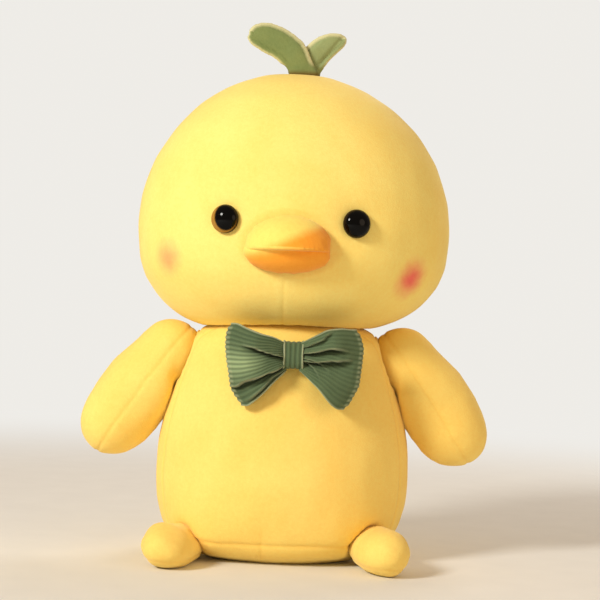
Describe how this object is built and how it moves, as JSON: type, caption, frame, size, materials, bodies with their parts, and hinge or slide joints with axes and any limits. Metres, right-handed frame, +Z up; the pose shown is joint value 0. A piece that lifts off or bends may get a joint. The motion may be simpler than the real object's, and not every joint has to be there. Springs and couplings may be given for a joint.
{
  "type": "plush toy",
  "caption": "Seated plush chicken with a turning head, swinging arms, short feet, a wide beak, a leaf sprout and a corduroy bow.",
  "frame": {"origin": "centre of the flat base that the toy sits on", "axes": "+Z up through the crown of the head, -Y is where the toy faces, +X is the toy's own left"},
  "size_m": [0.2938, 0.2145, 0.3773],
  "materials": {
    "plush_yellow": "short pile plush",
    "plush_orange": "short pile plush",
    "leaf_green": "soft felt",
    "corduroy_green": "corduroy",
    "filling_white": "loose fibre",
    "eye_black": "gloss",
    "washer_white": "matte"
  },
  "bodies": {
    "body": {"body_front_panel": "plush_yellow", "body_back_panel": "plush_yellow", "base_panel": "plush_yellow", "body_filling": "filling_white"},
    "neck": {"neck_seam": "plush_yellow"},
    "head": {"head_front_panel": "plush_yellow", "head_back_panel": "plush_yellow", "head_filling": "filling_white", "left_eye": "eye_black", "left_eye_washer": "washer_white", "right_eye": "eye_black", "right_eye_washer": "washer_white", "upper_bill": "plush_orange", "upper_bill_filling": "filling_white", "lower_bill": "plush_orange", "lower_bill_filling": "filling_white"},
    "front_leaf": {"front_leaf": "leaf_green"},
    "back_leaf": {"back_leaf": "leaf_green"},
    "bow": {"bow_loop": "corduroy_green", "bow_knot_band": "corduroy_green"},
    "left_shoulder": {"left_shoulder_seam": "plush_yellow"},
    "left_arm": {"left_arm_outer_panel": "plush_yellow", "left_arm_inner_panel": "plush_yellow", "left_arm_filling": "filling_white"},
    "left_foot": {"left_foot_upper": "plush_yellow", "left_foot_sole": "plush_yellow", "left_foot_filling": "filling_white"},
    "right_shoulder": {"right_shoulder_seam": "plush_yellow"},
    "right_arm": {"right_arm_outer_panel": "plush_yellow", "right_arm_inner_panel": "plush_yellow", "right_arm_filling": "filling_white"},
    "right_foot": {"right_foot_upper": "plush_yellow", "right_foot_sole": "plush_yellow", "right_foot_filling": "filling_white"}
  },
  "joints": [
    {"name": "head_turn", "type": "hinge", "parent": "body", "child": "neck", "pos_m": [0, 0, 0.08], "axis": [0, 0, 1], "range_deg": [-20, 20], "stiffness_Nm_per_rad": 1.2},
    {"name": "head_nod", "type": "hinge", "parent": "neck", "child": "head", "pos_m": [0, 0, 0.08], "axis": [1, 0, 0], "range_deg": [-6, 3], "stiffness_Nm_per_rad": 4},
    {"name": "front_leaf_bend", "type": "hinge", "parent": "head", "child": "front_leaf", "pos_m": [0.0043, -0.0038, 0.34212], "axis": [1, 0, 0], "range_deg": [0, 20], "stiffness_Nm_per_rad": 0.02},
    {"name": "back_leaf_bend", "type": "hinge", "parent": "head", "child": "back_leaf", "pos_m": [0.0073, 0.0038, 0.34196], "axis": [-1, 0, 0], "range_deg": [0, 20], "stiffness_Nm_per_rad": 0.02},
    {"name": "bow_rock", "type": "hinge", "parent": "body", "child": "bow", "pos_m": [0.005, -0.07459, 0.144], "axis": [0, 1, 0], "range_deg": [-5, 5], "stiffness_Nm_per_rad": 0.03},
    {"name": "left_arm_swing", "type": "hinge", "parent": "body", "child": "left_shoulder", "pos_m": [0.08277, 0, 0.1407], "axis": [1, 0, 0], "range_deg": [-30, 30], "stiffness_Nm_per_rad": 0.12},
    {"name": "left_arm_raise", "type": "hinge", "parent": "left_shoulder", "child": "left_arm", "pos_m": [0.08277, 0, 0.1407], "axis": [0, -1, 0], "range_deg": [0, 55], "stiffness_Nm_per_rad": 0.12},
    {"name": "left_toe_lift", "type": "hinge", "parent": "body", "child": "left_foot", "pos_m": [0.0625, -0.04659, 0.0155], "axis": [-1, 0, 0], "range_deg": [0, 15], "stiffness_Nm_per_rad": 0.08},
    {"name": "right_arm_swing", "type": "hinge", "parent": "body", "child": "right_shoulder", "pos_m": [-0.08277, 0, 0.1407], "axis": [1, 0, 0], "range_deg": [-30, 30], "stiffness_Nm_per_rad": 0.12},
    {"name": "right_arm_raise", "type": "hinge", "parent": "right_shoulder", "child": "right_arm", "pos_m": [-0.08277, 0, 0.1407], "axis": [0, 1, 0], "range_deg": [0, 55], "stiffness_Nm_per_rad": 0.12},
    {"name": "right_toe_lift", "type": "hinge", "parent": "body", "child": "right_foot", "pos_m": [-0.0625, -0.04659, 0.0155], "axis": [-1, 0, 0], "range_deg": [0, 15], "stiffness_Nm_per_rad": 0.08}
  ]
}
